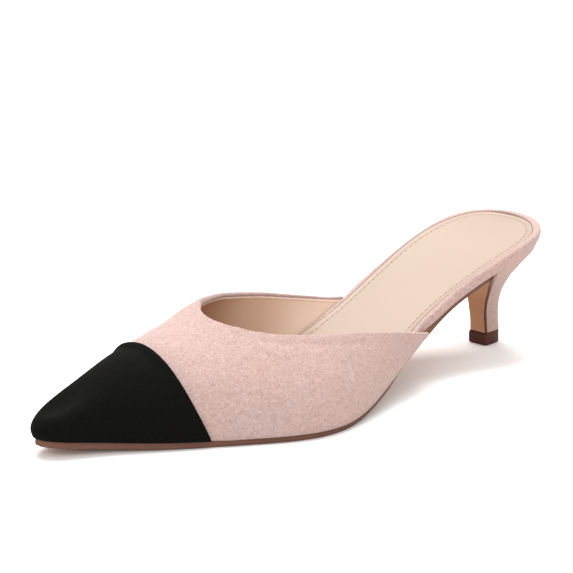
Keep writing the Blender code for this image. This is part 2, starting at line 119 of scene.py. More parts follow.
# ---------------------------------------------------------------- shape functions
def spline(xs, ys, x):
    """natural cubic through (xs, ys), straight beyond its ends"""
    xs, ys, x = np.asarray(xs, float), np.asarray(ys, float), np.asarray(x, float)
    n, h = len(xs), np.diff(xs)
    A, r = np.eye(n), np.zeros(n)
    for i in range(1, n - 1):
        A[i, i - 1:i + 2] = h[i - 1], 2 * (h[i - 1] + h[i]), h[i]
        r[i] = 6 * ((ys[i + 1] - ys[i]) / h[i] - (ys[i] - ys[i - 1]) / h[i - 1])
    m = np.linalg.solve(A, r)
    i = np.clip(np.searchsorted(xs, x) - 1, 0, n - 2)
    a, b = (xs[i + 1] - x), (x - xs[i])
    y = (m[i] * a ** 3 + m[i + 1] * b ** 3) / (6 * h[i])
    y += (ys[i] / h[i] - m[i] * h[i] / 6) * a + (ys[i + 1] / h[i] - m[i + 1] * h[i] / 6) * b
    s0 = (ys[1] - ys[0]) / h[0] - h[0] * m[1] / 6
    s1 = (ys[-1] - ys[-2]) / h[-1] + h[-1] * m[-2] / 6
    y = np.where(x < xs[0], ys[0] + s0 * (x - xs[0]), y)
    return np.where(x > xs[-1], ys[-1] + s1 * (x - xs[-1]), y)


def column(table, k):
    return [row[k] for row in table]


def smooth(x, a, b):
    t = np.clip((np.asarray(x, float) - a) / (b - a), 0, 1)
    return t * t * (3 - 2 * t)


def centre(x):
    return spline(column(OUTLINE, 0), column(OUTLINE, 1), x)


def width_factor(x):
    g = []
    for k, _, w in OUTLINE:
        r = HEEL_R if k == 0 else TOE_R
        g.append(np.sqrt(2 * r / LENGTH) if w is None else w / np.sqrt(k * (LENGTH - k)))
    return spline(column(OUTLINE, 0), g, x)


def u_of(x):
    return np.arccos(1 - 2 * np.asarray(x, float) / LENGTH)


def x_of(u):
    return LENGTH / 2 * (1 - np.cos(u))


def rim(u):
    """outline at angle u: 0 heel back, pi toe tip, up to pi outer side, beyond it inner side"""
    def at(v):
        x = x_of(v)
        return np.stack([x, centre(x) + width_factor(x) * LENGTH / 2 * np.sin(v)], -1)
    u = np.asarray(u, float)
    p, t = at(u), at(u + 1e-4) - at(u - 1e-4)
    n = np.stack([-t[..., 1], t[..., 0]], -1)
    return p, n / np.linalg.norm(n, axis=-1, keepdims=True)


def sole_z(x):
    return np.maximum(spline(column(SOLE_LINE, 0), column(SOLE_LINE, 1), x), SOLE_T)


def ridge(x):
    k = column(RIDGE, 0)
    return spline(k, column(RIDGE, 1), x), spline(k, column(RIDGE, 2), x)


def upper_point(u, th):
    """outer face of the upper: th 0 at the sole, pi/2 at the ridge"""
    u, th = np.broadcast_arrays(np.asarray(u, float), np.asarray(th, float))
    (p, n) = rim(u)
    x = p[..., 0]
    full, bulge = (spline(column(SECTION, 0), column(SECTION, k), np.clip(x, 100, LENGTH)) for k in (1, 2))
    xr = np.where(x > FAN_X, FAN_X + (FAN_END - FAN_X) * (x - FAN_X) / (LENGTH - FAN_X), x)
    h, yr = ridge(xr)
    slope = (ridge(xr + 0.5)[0] - h) * 2 * smooth(x, FAN_X, FAN_X + 15)
    c, s = np.abs(np.cos(th)), np.sin(th)
    out = bulge * np.sin(2 * th) * np.exp(-2 * th) * 1.6 + (0.3 + 0.8 * (1 - smooth(x, 84, 120)) - 0.3 * smooth(x, 195, 230)) * c
    w = p[..., 1] - centre(x)
    base = sole_z(x) + GAP
    return np.stack([x + (xr - x) * (1 - c) + n[..., 0] * out,
                     centre(x) + (yr - centre(x)) * s ** 2 + w * c ** (2 / full) + n[..., 1] * out,
                     base + (h - base) * s ** (1 - 0.12 * smooth(x, 225, 250)) + slope * (x - xr) * c * s ** 4], -1)


def upper_normal(u, th):
    e = 1e-3
    th = np.clip(th, 0.004, np.pi / 2 - 0.004)
    a = upper_point(u + e, th) - upper_point(u - e, th)
    b = upper_point(u, th + e) - upper_point(u, th - e)
    n = np.cross(b, a)
    n /= np.linalg.norm(n, axis=-1, keepdims=True)
    p, out = rim(u)
    n *= np.sign(n[..., 0] * out[..., 0] + n[..., 1] * out[..., 1] + 2 * n[..., 2])[..., None]
    level = smooth(th, 0, 0.25)[..., None]
    n = n * level + np.stack([out[..., 0], out[..., 1], 0 * out[..., 0]], -1) * (1 - level)
    return n / np.linalg.norm(n, axis=-1, keepdims=True)


def cap_edge(th):
    return spline(column(CAP_LINE, 0), column(CAP_LINE, 1), np.degrees(th))


def sink(u, th):
    return -CAP_SINK * smooth(x_of(u) - cap_edge(th), -7, 1)


FINE = np.linspace(0, 1, 2001)


def top_angle(x, inner):
    """section angle of the foot opening at x"""
    table, end = (TOP_IN, QUARTER_IN) if inner else (TOP_OUT, QUARTER_X)
    share = np.clip((THROAT_X - x) / (THROAT_X - end), 0, 1)
    fall = np.interp(np.sqrt(share), FINE, spline(np.sqrt(column(table, 0)), column(table, 1), FINE))
    base, h = sole_z(x) + GAP, ridge(x)[0]
    least = np.degrees(np.arcsin(END_H / (h - base)))
    return np.where(x >= THROAT_X - 1e-6, np.pi / 2, np.radians(np.maximum(90 - fall, least)))


def inset_loop(us, inset):
    p, n = rim(us)
    return p - n * np.broadcast_to(inset, us.shape)[..., None]


def back_share(us):
    """1 at the back of the heel, 0 along the sides"""
    return smooth(np.cos(us), 0.80, 1.0)


def board_inset(us):
    x = x_of(us)
    return BOARD_INSET * smooth(x, 76, 92) + 0.5 * smooth(x, 180, 200) * (1 - smooth(x, 232, 246))


def cover_inset(us):
    """edge of the covered board: drawn out to the lining inside the upper"""
    x = x_of(us)
    wall = 1.95 - 0.8 * (1 - smooth(x, 84, 120)) + 0.3 * smooth(x, 195, 230)
    return wall * smooth(x, 75, 86) + 0.5 * smooth(x, 180, 200) * (1 - smooth(x, 232, 246))


def softened(k):
    """column k of SOCK_EDGE every quarter millimetre, its corners rounded"""
    x = np.arange(-20, LENGTH + 20.01, 0.25)
    y = np.interp(np.abs(x), column(SOCK_EDGE, 0), column(SOCK_EDGE, k))
    w = np.exp(-(np.arange(-12, 12.01, 0.25) / 3.5) ** 2 / 2)
    return np.convolve(y, w / w.sum(), "same")[80:-80]


EDGE_OUT, EDGE_IN = softened(1), softened(2)


def sock_inset(us):
    x = x_of(us)
    grid = np.arange(len(EDGE_OUT)) * 0.25
    return np.where(np.sin(us) >= 0, np.interp(x, grid, EDGE_OUT), np.interp(x, grid, EDGE_IN))


def stitch_in(us):
    return STITCH_IN + 1.4 * smooth(x_of(us), 96, 108)


def board_t(x):
    return BAND_T - (BAND_T - BOARD_T) * smooth(x, 88, 130)


def dish(x, y):
    w = np.maximum(width_factor(x) * np.sqrt(np.maximum(x * (LENGTH - x), 1)), 3)
    return 0.9 * (1 - smooth(x, 45, 85)) * np.clip(1 - ((y - centre(x)) / w) ** 2, 0, 1)


def board_top(x, y):
    """recess for the sock"""
    return sole_z(x) + GAP + board_t(x) - 1.1 - dish(x, y)


def ripple(P, size, seed):
    """smooth noise of about that size (mm), between -1 and 1"""
    flat = np.asarray(P).reshape(-1, 3) / size + seed
    return np.array([noise.noise(Vector(p)) for p in flat]).reshape(np.asarray(P).shape[:-1])


# ---------------------------------------------------------------- node materials
class Mat:
    """a procedural material on Principled BSDF, textured in object space (metres)"""

    def __init__(self, name, **settings):
        self.mat = bpy.data.materials.new(name)
        self.mat.use_nodes = True
        self.tree = self.mat.node_tree
        self.bsdf = self.tree.nodes["Principled BSDF"]
        for key, value in settings.items():
            self.bsdf.inputs[key.replace("_", " ")].default_value = value
        self.place = self.node("ShaderNodeTexCoord").outputs["Object"]

    def node(self, kind, **props):
        n = self.tree.nodes.new(kind)
        for k, v in props.items():
            setattr(n, k, v)
        return n

    def link(self, a, b):
        self.tree.links.new(a, b)

    def stretch(self, scale, turn=(0, 0, 0)):
        m = self.node("ShaderNodeMapping")
        m.inputs["Scale"].default_value = scale
        m.inputs["Rotation"].default_value = turn
        self.link(self.place, m.inputs["Vector"])
        return m.outputs["Vector"]

    def noise(self, size, detail=2.0, rough=0.5, warp=0.0, where=None, offset=0.0):
        """noise with features of about size mm"""
        n = self.node("ShaderNodeTexNoise")
        n.noise_dimensions = "3D"
        n.inputs["Scale"].default_value = 1000.0 / size
        n.inputs["Detail"].default_value = detail
        n.inputs["Roughness"].default_value = rough
        n.inputs["Distortion"].default_value = warp
        src = where or self.place
        if offset:
            m = self.node("ShaderNodeVectorMath", operation="ADD")
            m.inputs[1].default_value = (offset, offset * 0.7, offset * 1.3)
            self.link(src, m.inputs[0])
            src = m.outputs[0]
        self.link(src, n.inputs["Vector"])
        return n.outputs["Fac"]

    def cells(self, size, where=None, feature="F1"):
        n = self.node("ShaderNodeTexVoronoi")
        n.feature = feature
        n.inputs["Scale"].default_value = 1000.0 / size
        self.link(where or self.place, n.inputs["Vector"])
        return n.outputs["Distance"]

    def math(self, op, a, b=0.0, clamp=False):
        n = self.node("ShaderNodeMath", operation=op)
        n.use_clamp = clamp
        for i, v in enumerate((a, b)):
            if isinstance(v, (int, float)):
                n.inputs[i].default_value = v
            else:
                self.link(v, n.inputs[i])
        return n.outputs[0]

    def spread(self, fac, gain, base=0.0):
        """(fac - 0.5) * gain + base"""
        return self.math("ADD", self.math("MULTIPLY", self.math("SUBTRACT", fac, 0.5), gain), base)

    def total(self, *parts):
        out = parts[0]
        for p in parts[1:]:
            out = self.math("ADD", out, p)
        return out

    def ramp(self, fac, stops):
        n = self.node("ShaderNodeValToRGB")
        r = n.color_ramp
        while len(r.elements) < len(stops):
            r.elements.new(0.5)
        for e, (pos, rgb) in zip(r.elements, stops):
            e.position = pos
            e.color = (*rgb, 1)
        self.link(fac, n.inputs["Fac"])
        return n.outputs["Color"]

    def mix(self, fac, a, b):
        n = self.node("ShaderNodeMix", data_type="RGBA")
        for v, key in ((fac, 0), (a, 6), (b, 7)):
            if isinstance(v, (int, float)):
                n.inputs[key].default_value = v
            elif isinstance(v, tuple):
                n.inputs[key].default_value = (*v, 1)
            else:
                self.link(v, n.inputs[key])
        return n.outputs[2]

    def attribute(self, name):
        n = self.node("ShaderNodeAttribute", attribute_name=name)
        return n.outputs["Fac"]

    def colour(self, socket):
        self.link(socket, self.bsdf.inputs["Base Color"])

    def rough(self, fac, low, high):
        m = self.node("ShaderNodeMapRange")
        m.inputs["To Min"].default_value = low
        m.inputs["To Max"].default_value = high
        self.link(fac, m.inputs["Value"])
        self.link(m.outputs[0], self.bsdf.inputs["Roughness"])

    def bump(self, height, depth, strength=1.0):
        b = self.node("ShaderNodeBump")
        b.inputs["Strength"].default_value = strength
        b.inputs["Distance"].default_value = depth / 1000.0
        self.link(height, b.inputs["Height"])
        self.link(b.outputs["Normal"], self.bsdf.inputs["Normal"])


def shade(rgb, k):
    return tuple(min(1.0, c * k) for c in rgb)


def suede(name, rgb, contrast=1.0, nap=1.0, depth=0.16, sheen=0.16, tint=(1, 0.93, 0.9), spec=0.1, shadow="shade"):
    """short-nap suede: worm-like mottling about a millimetre across, finer fibre speckle, broad
    brushed patches; the shade attribute mixes painted shade into creases, recesses and turned edges"""
    m = Mat(name, Roughness=0.95, Specular_IOR_Level=spec, Sheen_Weight=sheen, Sheen_Roughness=0.45,
            Sheen_Tint=(*tint, 1))
    worm = m.noise(0.76 * nap, 1.5, 0.55, 1.2)
    streak = m.noise(1.1 * nap, 1.0, 0.5, 0.8, where=m.stretch((0.6, 1.0, 1.0), (0.2, 0.5, 0.6)), offset=3.1)
    fibre = m.noise(0.42 * nap, 2.0, 0.65, 0.3, offset=1.7)
    patch = m.noise(24.0, 2.0, 0.45, 0.4, offset=5.3)
    vein = m.math("ABSOLUTE", m.math("SUBTRACT", m.noise(1.8 * nap, 1.0, 0.5, 0.9, offset=9.4), 0.5))
    crease = m.math("MULTIPLY", m.math("SUBTRACT", m.math("MINIMUM", vein, 0.06), 0.042), 6.0 * contrast)
    fac = m.total(m.spread(worm, 1.6 * contrast, 0.5), m.spread(streak, 0.7 * contrast), m.spread(fibre, 1.0 * contrast), crease)
    warm, cool = (rgb[0], rgb[1] * 0.97, rgb[2] * 0.95), (rgb[0] * 0.97, rgb[1] * 1.01, rgb[2] * 1.05)
    ramps = [m.ramp(fac, ((0.0, (c[0] * 0.80, c[1] * 0.74, c[2] * 0.72)), (0.32, (c[0] * 0.93, c[1] * 0.90, c[2] * 0.89)), (0.55, c), (1.0, shade(c, 1.22)))) for c in (warm, cool)]
    base = m.mix(m.spread(patch, 2.0, 0.5), *ramps)
    # painted shade: the shade attribute mixes in the colour at 0.55 brightness
    deep_shade = m.attribute(shadow)
    m.colour(m.mix(deep_shade, base, shade(rgb, 0.55)))
    m.rough(fibre, 0.86, 1.0)
    m.bump(m.total(m.math("MULTIPLY", worm, 0.9), m.math("MULTIPLY", fibre, 0.45), m.math("MULTIPLY", streak, 0.4), m.math("MULTIPLY", crease, 0.5)), depth, 0.8)
    return m.mat


def leather(name, rgb, rough=(0.42, 0.6), grain=0.6, depth=0.05, spread=0.5, spec=0.35, dark=(0.5, 0.5, 0.5), shadow="shade"):
    """smooth dressed leather: fine pebble grain, faint pores, slow colour drift; the shade attribute mixes in painted
    shade, the colour times dark
    """
    m = Mat(name, Specular_IOR_Level=spec)
    cell = m.cells(grain)
    pore = m.noise(grain * 0.5, 2.0, 0.6, 0.2)
    drift = m.noise(38.0, 3.0, 0.55, 0.3, offset=2.2)
    cloud = m.noise(9.0, 2.0, 0.5, 0.2, offset=7.7)
    fac = m.total(m.spread(drift, 1.1 * spread, 0.5), m.spread(cloud, 0.6 * spread), m.spread(pore, 0.35 * spread))
    base = m.ramp(fac, ((0.0, shade(rgb, 0.90)), (0.5, rgb), (1.0, shade(rgb, 1.07))))
    # painted shade: the shade attribute pulls the colour towards rgb times dark
    m.colour(m.mix(m.attribute(shadow), base, tuple(a * b for a, b in zip(rgb, dark))))
    m.rough(m.total(m.spread(cloud, 0.8, 0.5), m.spread(pore, 0.3)), *rough)
    m.bump(m.total(m.math("MULTIPLY", cell, 0.8), m.math("MULTIPLY", pore, 0.5)), depth, 0.6)
    return m.mat


def painted_edge(name, rgb, rough=(0.6, 0.8)):
    """sole edge: layers pressed and painted, faint lines along the edge"""
    m = Mat(name, Specular_IOR_Level=0.12)
    lines = m.noise(0.5, 2.0, 0.6, 0.2, where=m.stretch((0.04, 0.04, 1.0)))
    blot = m.noise(5.0, 3.0, 0.6, 0.4, offset=4.4)
    fac = m.total(m.spread(lines, 0.7, 0.5), m.spread(blot, 0.8))
    m.colour(m.ramp(fac, ((0.0, shade(rgb, 0.72)), (0.5, rgb), (1.0, shade(rgb, 1.3)))))
    m.rough(blot, *rough)
    m.bump(m.total(lines, m.math("MULTIPLY", blot, 0.4)), 0.06, 0.7)
    return m.mat


def rubber(name, rgb):
    m = Mat(name, Specular_IOR_Level=0.15)
    fine = m.noise(0.35, 3.0, 0.6)
    blot = m.noise(4.0, 2.0, 0.5, 0.2, offset=6.0)
    fac = m.total(m.spread(fine, 0.5, 0.5), m.spread(blot, 0.9))
    m.colour(m.ramp(fac, ((0.0, shade(rgb, 0.75)), (0.5, rgb), (1.0, shade(rgb, 1.35)))))
    m.rough(fac, 0.5, 0.7)
    m.bump(fine, 0.05, 0.6)
    return m.mat


def thread(name, rgb):
    m = Mat(name, Specular_IOR_Level=0.3, Sheen_Weight=0.2)
    ply = m.noise(0.25, 2.0, 0.6, 0.5, where=m.stretch((1, 1, 0.4), (0.4, 0.3, 0.8)))
    m.colour(m.ramp(ply, ((0.3, shade(rgb, 0.8)), (0.6, rgb), (0.8, shade(rgb, 1.15)))))
    m.rough(ply, 0.6, 0.85)
    m.bump(ply, 0.06, 0.8)
    return m.mat


PINK = (0.372, 0.262, 0.236)
TAN = (0.316, 0.233, 0.182)
MATS = {
    "suede": suede("suede_pink", PINK),
    # heel cover: a darker, pinker copy of the pink suede, painted shade for the low heel
    "heel_suede_shaded": suede("suede_pink_heel_shaded", (PINK[0] * 0.95, PINK[1] * 0.92, PINK[2] * 0.88), contrast=0.8, depth=0.12),
    "black": suede("suede_black", (0.0029, 0.0029, 0.0026), contrast=1.3, depth=0.12, sheen=0.009, tint=(0.8, 0.8, 0.78), spec=0.05),
    # dark: brown, saturated painted shade for the lining's throat end
    "lining": leather("lining_tan", (0.715, 0.535, 0.422), rough=(0.5, 0.65), depth=0.04, dark=(0.62, 0.42, 0.30)),
    "lining_edge": leather("lining_edge", (0.66, 0.50, 0.40), rough=(0.6, 0.75), depth=0.03),
    "sock": leather("sock_tan", TAN, rough=(0.42, 0.58), depth=0.04),
    "sock_edge": leather("sock_edge", (0.24, 0.155, 0.118), rough=(0.6, 0.75), depth=0.03),
    "sole": leather("sole_leather", (0.36, 0.172, 0.088), rough=(0.5, 0.65), grain=0.9, depth=0.05, spread=0.8, spec=0.2),
    "edge": painted_edge("sole_edge", (0.125, 0.059, 0.040)),
    "flap_edge": painted_edge("sole_edge_dark", (0.080, 0.028, 0.017)),
    "tip": rubber("tip_rubber", (0.060, 0.0150, 0.0095)),
    "thread": thread("thread_tan", (0.315, 0.235, 0.182)),
    # hole: darker thread colour, painted shade of the needle holes
    "hole": thread("stitch_hole_shade", (0.225, 0.150, 0.098)),
}


# ---------------------------------------------------------------- meshes
def piece(name, node, verts, faces, mats, index=None, shadow=None, sharp=40.0):
    me = bpy.data.meshes.new(name)
    V = (np.asarray(verts, float) - SHIFT) * 0.001
    me.from_pydata(V.tolist(), [], [list(map(int, f)) for f in faces])
    for key in mats:
        me.materials.append(MATS[key])
    if index is not None:
        me.polygons.foreach_set("material_index", np.asarray(index, np.int32))
    me.polygons.foreach_set("use_smooth", np.ones(len(me.polygons), bool))
    # shade attribute: painted shade per vertex, darkening the colour in the materials
    a = me.attributes.new("shade", "FLOAT", "POINT")
    a.data.foreach_set("value", np.asarray(shadow if shadow is not None else np.zeros(len(V)), np.float32))
    me.validate()
    me.update()
    me.set_sharp_from_angle(angle=np.radians(sharp))
    ob = bpy.data.objects.new(name, me)
    bpy.context.scene.collection.objects.link(ob)
    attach(ob, "root")
    if node:
        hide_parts(node)
    return ob


def orient(faces, verts):
    """faces turned so that the closed mesh points outwards"""
    V = np.asarray(verts, float)
    vol = 0.0
    for f in faces:
        a = V[f[0]]
        for i in range(1, len(f) - 1):
            vol += np.dot(a, np.cross(V[f[i]], V[f[i + 1]]))
    return [f[::-1] for f in faces] if vol < 0 else faces


def nearest(P, line):
    """distance of each point from a finely sampled line"""
    flat = P.reshape(-1, 3)
    out = np.empty(len(flat))
    for i in range(0, len(flat), 2000):
        d = flat[i:i + 2000, None] - line[None]
        out[i:i + 2000] = np.sqrt((d ** 2).sum(-1).min(1))
    return out.reshape(P.shape[:-1])


def columns_by_length(u, top, shares):
    """section angles whose distance from the top, along the section, is the given share of it"""
    fine = np.linspace(0, 1, 500)
    ths = np.empty((len(u), len(shares)))
    for i in range(len(u)):
        th = top[i] * fine
        P = upper_point(np.full_like(th, u[i]), th)
        arc = np.concatenate([[0], np.cumsum(np.linalg.norm(np.diff(P, axis=0), axis=1))])
        ths[i] = np.interp(arc[-1] * (1 - shares), arc, th)
    return ths


def fullness(us, ths):
    """small rises and hollows of the stretched suede, mm"""
    x, deg, inner = x_of(us), np.degrees(ths), us > np.pi
    hump = 0.75 * np.exp(-((x - 165) / 9.0) ** 2) * np.exp(-((deg - 64) / 17.0) ** 2) * inner
    nose = 0.36 * np.exp(-((x - 240) / 7.0) ** 2) * np.exp(-((deg - 46) / 22.0) ** 2) * inner
    tip = -0.28 * smooth(x, 244, 251) * smooth(deg, 8, 24)
    return hump + nose + tip


def make_upper():
    rows = 84
    q = np.linspace(0, 1, rows)[::-1]
    shares = 0.38 * q + 0.62 * q ** 3
    s = np.linspace(1, 0, 120)
    throat = THROAT_X
    open_x = throat - (throat - QUARTER_X) * s ** 2.2
    open_in = throat - (throat - QUARTER_IN) * s ** 2.2
    shut_u = np.linspace(0, 1, 64)[1:-1] ** 1.35
    shut_u = u_of(throat) + (np.pi - u_of(throat)) * shut_u
    u = np.concatenate([u_of(open_x), shut_u, [np.pi], (2 * np.pi - np.concatenate([u_of(open_in), shut_u]))[::-1]])
    n, t = len(u), len(open_x) - 1
    half = n // 2
    inner = np.arange(n) > half
    x = x_of(u)
    top = np.where(inner, top_angle(x, True), top_angle(x, False))
    ths = columns_by_length(u, top, shares)
    us = np.repeat(u[:, None], rows, 1)
    # the front of the opening is round: its columns lean forward on the outer side
    fall = 90 - np.degrees(ths)
    lean = 0.85 * np.exp(-((x[:, None] - throat) / 5.0) ** 2) * np.exp(-((fall - 8.5) / 8.0) ** 2) * smooth(fall, 0, 4)
    us = us + np.where(inner[:, None], 0, lean * 0.00865)
    P = upper_point(us, ths)
    N = upper_normal(us, ths)

    # topline, finely sampled
    line = []
    for side in (range(0, t + 1), range(n - 1, n - 2 - t, -1)):
        pts = np.array([P[i, -1] for i in side])
        for a, b in zip(pts[:-1], pts[1:]):
            k = max(2, int(np.linalg.norm(b - a) / 0.12))
            line.append(a + (b - a) * np.linspace(0, 1, k, endpoint=False)[:, None])
        line.append(pts[-1:])
    line = np.vstack(line)
    d = nearest(P, line)
    d[:t + 1, -1] = d[n - 1 - t:, -1] = 0
    r = WALL / 2
    rear = smooth(x, QUARTER_X, 104)[:, None]

    round_ = np.where(d < r, r - np.sqrt(np.maximum(r * r - (r - np.minimum(d, r)) ** 2, 0)), 0)
    # turned hem: slightly raised, with a soft crease where the turned edge ends
    hx = P[..., 0]
    where = smooth(hx, 118, 142) * (1 - smooth(hx, 168, 176)) * (1 - 0.45 * inner[:, None])
    hem = where * (-0.22 * np.exp(-((d - HEM) / 1.7) ** 2) + 0.08 * np.exp(-((d - HEM - 3.4) / 1.8) ** 2))
    hem = hem + rear * 0.10 * (1 - smooth(d, 1.5, HEM)) + fullness(us, ths)
    wave = 0.10 * ripple(P, 14.0, 3.0) + 0.045 * ripple(P, 4.5, 9.0)
    away = smooth(d, 0.0, 3.0)
    foot = smooth(ths, 0.02, 0.25)
    outer = sink(us, ths) - round_ + hem + wave * away * foot
    inner_d = np.where(d < r, -r - np.sqrt(np.maximum(r * r - (r - np.minimum(d, r)) ** 2, 0)), -WALL)
    inner_d = inner_d - LINING_STEP * smooth(d, FOLD, FOLD + 0.28) + sink(us, ths)
    A = P + N * outer[..., None]
    B = P + N * inner_d[..., None]

    # feather edge: the suede turns in under the wall where it meets the sole
    p0, n0 = rim(u)
    down = np.column_stack([n0, 0 * x])
    F1 = A[:, 0] - down * 0.10 - np.array([0, 0, 0.18])
    F2 = A[:, 0] - down * 0.55 - np.array([0, 0, 0.32])

    verts, idx = [], {}

    def put(key, p):
        idx[key] = len(verts)
        verts.append(p)

    dist, shadow = [], []
    for i in range(n):
        for j in range(rows):
            if i > half and t <= n - 1 - i and j == rows - 1:
                idx["a", i, j] = idx["a", n - 1 - i, j]
                idx["b", i, j] = idx["b", n - 1 - i, j]
                continue
            put(("a", i, j), A[i, j])
            dist.append(d[i, j])
            # painted shade: a little in the hem crease, more along the bottom rows where the upper meets the sole
            shadow.append(0.10 * np.exp(-((d[i, j] - HEM) / 1.6) ** 2) * where[i, j] + 0.16 * (1 - smooth(ths[i, j], 0.0, 0.06)))
            if j == rows - 1 and (i <= t or i >= n - 1 - t):
                idx["b", i, j] = idx["a", i, j]
                continue
            put(("b", i, j), B[i, j])
            dist.append(d[i, j])
            # lining: painted shadow just below its raised edge, and painted shade growing towards the throat
            under = 0.35 * np.exp(-((d[i, j] - FOLD - 0.6) / 0.45) ** 2) * (d[i, j] > FOLD + 0.3)
            deep_shade = 0.5 * float(smooth(x[i], 104, 132)) + 0.45 * float(smooth(x[i], 132, 158))
            shadow.append(under + deep_shade * float(smooth(d[i, j], FOLD + 0.35, FOLD + 0.95)))
        # feather edge rows carry painted shade (0.35) where the suede turns under to the sole
        for k, f in (("f", F1), ("g", F2)):
            put((k, i, 0), f[i])
            dist.append(d[i, 0])
            shadow.append(0.35)
    faces, index = [], []
    for i in range(n - 1):
        for j in range(rows - 1):
            for key in ("a", "b"):
                f = [idx[key, i, j], idx[key, i + 1, j], idx[key, i + 1, j + 1], idx[key, i, j + 1]]
                f = list(dict.fromkeys(f))
                if len(f) < 3:
                    continue
                if key == "b":
                    f = f[::-1]
                m = np.mean([dist[v] for v in f])
                faces.append(f)
                index.append(0 if key == "a" or m < FOLD + 0.02 else (2 if m < FOLD + 0.42 else 1))
        a, b = ("a", i, 0), ("a", i + 1, 0)
        for p, q in (("a", "f"), ("f", "g")):
            faces.append([idx[p, i + 1, 0], idx[p, i, 0], idx[q, i, 0], idx[q, i + 1, 0]])
            index.append(0)
        faces.append([idx["g", i + 1, 0], idx["g", i, 0], idx["b", i, 0], idx["b", i + 1, 0]])
        index.append(0)
    for i, flip in ((0, False), (n - 1, True)):
        for j in range(rows - 1):
            f = [idx["a", i, j], idx["a", i, j + 1], idx["b", i, j + 1], idx["b", i, j]]
            f = list(dict.fromkeys(f))
            faces.append(f[::-1] if flip else f)
            index.append(0)
        f = [idx["a", i, 0], idx["b", i, 0], idx["g", i, 0], idx["f", i, 0]]
        faces.append(f[::-1] if flip else f)
        index.append(0)
    faces = orient(faces, verts)
    return piece("upper_suede", "upper", verts, faces, ["suede", "lining", "lining_edge"], index, shadow, sharp=60)


def make_cap():
    rows, side = 64, 90
    th = np.linspace(0, 1, rows) * np.pi / 2
    e = np.concatenate([[0], np.cumsum(np.linspace(0.12, 1, side - 1) ** 1.0)])
    s = e / e[-1]
    s = np.concatenate([-(1 - s), (1 - s)[::-1][1:]])
    s = np.clip(s, -1, 1)
    reach = np.pi - u_of(cap_edge(th))
    us = np.pi + s[:, None] * reach[None]
    ths = np.repeat(th[None], len(s), 0)
    P, N = upper_point(us, ths), upper_normal(us, ths)
    n = len(s)
    # distance from the rear edge of the cap
    edge = np.vstack([P[0], P[-1][::-1]])
    line = np.vstack([a + (b - a) * np.linspace(0, 1, 12, endpoint=False)[:, None] for a, b in zip(edge[:-1], edge[1:])] + [edge[-1:]])
    d = nearest(P, line)
    d[0] = d[-1] = 0
    top, r = GAP + CAP_T - CAP_SINK, 0.55
    wave = 0.05 * ripple(P, 7.0, 21.0) * smooth(d, 0, 3)
    outer = top - np.where(d < r, r - np.sqrt(np.maximum(r * r - (r - np.minimum(d, r)) ** 2, 0)), 0) + wave + fullness(us, ths)
    # turned edge: a low roll, thickest where it crosses the ridge
    deg = np.degrees(ths)
    ridge_part = smooth(deg, 42, 74)
    outer = outer + (0.10 + 0.95 * ridge_part) * (1 - smooth(d, 1.0, 4.1)) * smooth(d, -0.6, 0.5)
    A = P + N * outer[..., None]
    B = P + N * (-CAP_SINK + 0.02)
    p0, n0 = rim(us[:, 0])
    down = np.column_stack([n0, 0 * p0[:, 0]])
    F1 = A[:, 0] - down * 0.12 - np.array([0, 0, 0.18])
    F2 = A[:, 0] - down * 0.6 - np.array([0, 0, 0.30])
    verts, idx, shadow = [], {}, []

    def put(key, p, k):
        idx[key] = len(verts)
        verts.append(p)
        shadow.append(k)

    for i in range(n):
        for j in range(rows):
            if i > n // 2 and j == rows - 1:
                for key in "ab":
                    idx[key, i, j] = idx[key, n - 1 - i, j]
                continue
            # painted shade: none on the outer face, some on the inner face and the turned-under feather edge
            put(("a", i, j), A[i, j], 0.0)
            put(("b", i, j), B[i, j], 0.3)
        put(("f", i, 0), F1[i], 0.3)
        put(("g", i, 0), F2[i], 0.5)
    faces = []
    for i in range(n - 1):
        for j in range(rows - 1):
            for key in "ab":
                f = [idx[key, i, j], idx[key, i + 1, j], idx[key, i + 1, j + 1], idx[key, i, j + 1]]
                faces.append(f if key == "a" else f[::-1])
        for p, q in (("a", "f"), ("f", "g"), ("g", "b")):
            faces.append([idx[p, i + 1, 0], idx[p, i, 0], idx[q, i, 0], idx[q, i + 1, 0]])
    for i, flip in ((0, False), (n - 1, True)):
        for j in range(rows - 1):
            f = [idx["a", i, j], idx["a", i, j + 1], idx["b", i, j + 1], idx["b", i, j]]
            faces.append(f[::-1] if flip else f)
        f = [idx["a", i, 0], idx["b", i, 0], idx["g", i, 0], idx["f", i, 0]]
        faces.append(f[::-1] if flip else f)
    faces = orient(faces, verts)
    return piece("toe_cap_suede", "toe_cap", verts, faces, ["black"], None, shadow, sharp=50)


def plate(count, loops, crown, across=4):
    """solid from closed loops over the outline angle, first loop underneath, last on top;
    also gives for each face the loop band it belongs to (-1 underneath, -2 on top)"""
    us = np.linspace(0, 2 * np.pi, count, endpoint=False)
    verts, faces, band = [], [], []
    for f in loops:
        verts += list(f(us))
    m = len(loops)
    for k in range(m - 1):
        for j in range(count):
            a, b = k * count + j, k * count + (j + 1) % count
            faces.append([a, b, b + count, a + count])
            band.append(k)
    half = count // 2
    for o, on_top in ((0, False), ((m - 1) * count, True)):
        line = {}
        for i in range(1, half):
            a, b = verts[o + i], verts[o + count - i]
            line[i] = [o + i]
            for t in np.linspace(0, 1, across + 1)[1:-1]:
                p = a + (b - a) * t
                line[i].append(len(verts))
                verts.append(np.array([p[0], p[1], crown(p[0], p[1], on_top)]))
            line[i].append(o + count - i)
        top = []
        for i in range(1, half - 1):
            for k in range(across):
                top.append([line[i][k], line[i + 1][k], line[i + 1][k + 1], line[i][k + 1]])
        for k in range(across):
            top.append([o, line[1][k], line[1][k + 1]][::-1])
            top.append([o + half, line[half - 1][k], line[half - 1][k + 1]])
        faces += [f if on_top else f[::-1] for f in top]
        band += [-2 if on_top else -1] * len(top)
    return verts, orient(faces, verts), band


